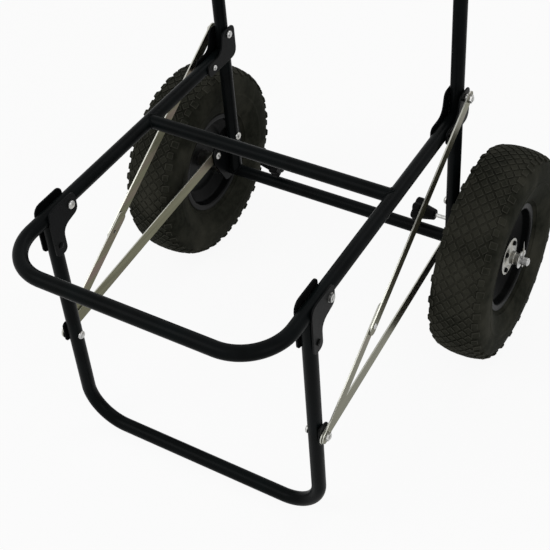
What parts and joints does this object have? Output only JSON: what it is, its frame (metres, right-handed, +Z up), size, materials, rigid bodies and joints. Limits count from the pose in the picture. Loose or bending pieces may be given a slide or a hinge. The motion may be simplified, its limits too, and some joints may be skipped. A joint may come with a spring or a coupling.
{
  "type": "game cart",
  "caption": "Folding two-wheeled game cart: tubular bed on a U-shaped front leg, flat side braces, upright push handle, axle with wide pneumatic wheels.",
  "frame": {"origin": "on the floor, under the middle of the cart's bounding box", "axes": "+X across the cart to its right seen from behind the front loop, -Y towards the front loop, +Z up"},
  "size_m": [0.811, 0.8942, 1.0975],
  "materials": {
    "black_tube": "satin black powder coat on steel tube",
    "black_plate": "satin black powder coat on steel plate",
    "yellow_zinc": "yellow zinc plated flat steel",
    "bright_zinc": "bright zinc plated fasteners",
    "hub_zinc": "zinc plated wheel hub",
    "black_plastic": "moulded black plastic",
    "grip_foam": "black foam sleeve",
    "valve_rubber": "black rubber valve stem",
    "tyre_rubber": "dusty charcoal tyre rubber with a diamond block tread",
    "rim_paint": "black painted pressed steel"
  },
  "bodies": {
    "handle_frame": {"handle_tube": "black_tube", "handle_grip": "grip_foam", "axle_tube": "black_tube", "axle_shaft": "bright_zinc", "left_axle_plate": "black_plate", "left_foot_bolt": "bright_zinc", "left_strap_bolt": "bright_zinc", "left_bed_pivot_bolt": "bright_zinc", "left_axle_washer": "bright_zinc", "left_split_pin": "bright_zinc", "right_axle_plate": "black_plate", "right_foot_bolt": "bright_zinc", "right_strap_bolt": "bright_zinc", "right_bed_pivot_bolt": "bright_zinc", "right_axle_washer": "bright_zinc", "right_split_pin": "bright_zinc"},
    "bed": {"bed_loop": "black_tube", "bed_crossbar": "black_tube", "left_bed_inner_plate": "black_plate", "left_bed_outer_plate": "black_plate", "left_rail_end_bolt": "bright_zinc", "left_leg_pivot_bolt": "bright_zinc", "right_bed_inner_plate": "black_plate", "right_bed_outer_plate": "black_plate", "right_rail_end_bolt": "bright_zinc", "right_leg_pivot_bolt": "bright_zinc"},
    "leg": {"leg_loop": "black_tube", "left_leg_inner_plate": "black_plate", "left_leg_outer_plate": "black_plate", "left_leg_top_bolt": "bright_zinc", "left_leg_ear": "black_plate", "left_brace_bolt": "bright_zinc", "right_leg_inner_plate": "black_plate", "right_leg_outer_plate": "black_plate", "right_leg_top_bolt": "bright_zinc", "right_leg_ear": "black_plate", "right_brace_bolt": "bright_zinc"},
    "left_lower_strap": {"left_lower_strap": "yellow_zinc"},
    "left_lower_link": {"left_lower_link": "yellow_zinc"},
    "left_upper_link": {"left_upper_link": "yellow_zinc", "left_knee_rivet": "bright_zinc"},
    "left_wheel": {"left_tyre": "tyre_rubber", "left_rim_outer": "rim_paint", "left_rim_inner": "rim_paint", "left_hub": "hub_zinc", "left_hub_flange": "hub_zinc", "left_valve_stem": "valve_rubber"},
    "left_hand_screw": {"left_hand_screw": "black_plastic"},
    "right_lower_strap": {"right_lower_strap": "yellow_zinc"},
    "right_lower_link": {"right_lower_link": "yellow_zinc"},
    "right_upper_link": {"right_upper_link": "yellow_zinc", "right_knee_rivet": "bright_zinc"},
    "right_wheel": {"right_tyre": "tyre_rubber", "right_rim_outer": "rim_paint", "right_rim_inner": "rim_paint", "right_hub": "hub_zinc", "right_hub_flange": "hub_zinc", "right_valve_stem": "valve_rubber"},
    "right_hand_screw": {"right_hand_screw": "black_plastic"}
  },
  "joints": [
    {"name": "bed_fold", "type": "hinge", "parent": "handle_frame", "child": "bed", "pos_m": [0, 0.23913, 0.547], "axis": [-1, 0, 0], "range_deg": [0, 90]},
    {"name": "leg_fold", "type": "hinge", "parent": "bed", "child": "leg", "pos_m": [0, -0.26787, 0.505], "axis": [-1, 0, 0], "range_deg": [-90, 0]},
    {"name": "left_lower_strap_swing", "type": "hinge", "parent": "handle_frame", "child": "left_lower_strap", "pos_m": [-0.2685, 0.19713, 0.27], "axis": [-1, 0, 0], "range_deg": [0, 90]},
    {"name": "left_upper_link_swing", "type": "hinge", "parent": "handle_frame", "child": "left_upper_link", "pos_m": [-0.2685, 0.23913, 0.547], "axis": [-1, 0, 0], "range_deg": [0, 106.7]},
    {"name": "left_lower_link_swing", "type": "hinge", "parent": "leg", "child": "left_lower_link", "pos_m": [-0.2685, -0.30987, 0.228], "axis": [-1, 0, 0], "range_deg": [-65.3, 0]},
    {"name": "left_wheel_spin", "type": "hinge", "parent": "handle_frame", "child": "left_wheel", "pos_m": [-0.336, 0.23913, 0.208], "axis": [1, 0, 0], "continuous": true},
    {"name": "left_hand_screw_turn", "type": "hinge", "parent": "handle_frame", "child": "left_hand_screw", "pos_m": [-0.21, 0.23913, 0.254], "axis": [1, 0, 0], "continuous": true},
    {"name": "right_lower_strap_swing", "type": "hinge", "parent": "handle_frame", "child": "right_lower_strap", "pos_m": [0.2685, 0.19713, 0.27], "axis": [-1, 0, 0], "range_deg": [0, 90]},
    {"name": "right_upper_link_swing", "type": "hinge", "parent": "handle_frame", "child": "right_upper_link", "pos_m": [0.2685, 0.23913, 0.547], "axis": [-1, 0, 0], "range_deg": [0, 106.7]},
    {"name": "right_lower_link_swing", "type": "hinge", "parent": "leg", "child": "right_lower_link", "pos_m": [0.2685, -0.30987, 0.228], "axis": [-1, 0, 0], "range_deg": [-65.3, 0]},
    {"name": "right_wheel_spin", "type": "hinge", "parent": "handle_frame", "child": "right_wheel", "pos_m": [0.336, 0.23913, 0.208], "axis": [1, 0, 0], "continuous": true},
    {"name": "right_hand_screw_turn", "type": "hinge", "parent": "handle_frame", "child": "right_hand_screw", "pos_m": [0.21, 0.23913, 0.254], "axis": [1, 0, 0], "continuous": true}
  ],
  "couplings": [
    {"joint": "leg_fold", "follows": "bed_fold", "ratio": -1},
    {"joint": "left_lower_strap_swing", "follows": "bed_fold", "ratio": 1},
    {"joint": "left_upper_link_swing", "follows": "bed_fold", "ratio": 1.1848},
    {"joint": "left_lower_link_swing", "follows": "bed_fold", "ratio": -0.72468},
    {"joint": "right_lower_strap_swing", "follows": "bed_fold", "ratio": 1},
    {"joint": "right_upper_link_swing", "follows": "bed_fold", "ratio": 1.1848},
    {"joint": "right_lower_link_swing", "follows": "bed_fold", "ratio": -0.72468}
  ]
}
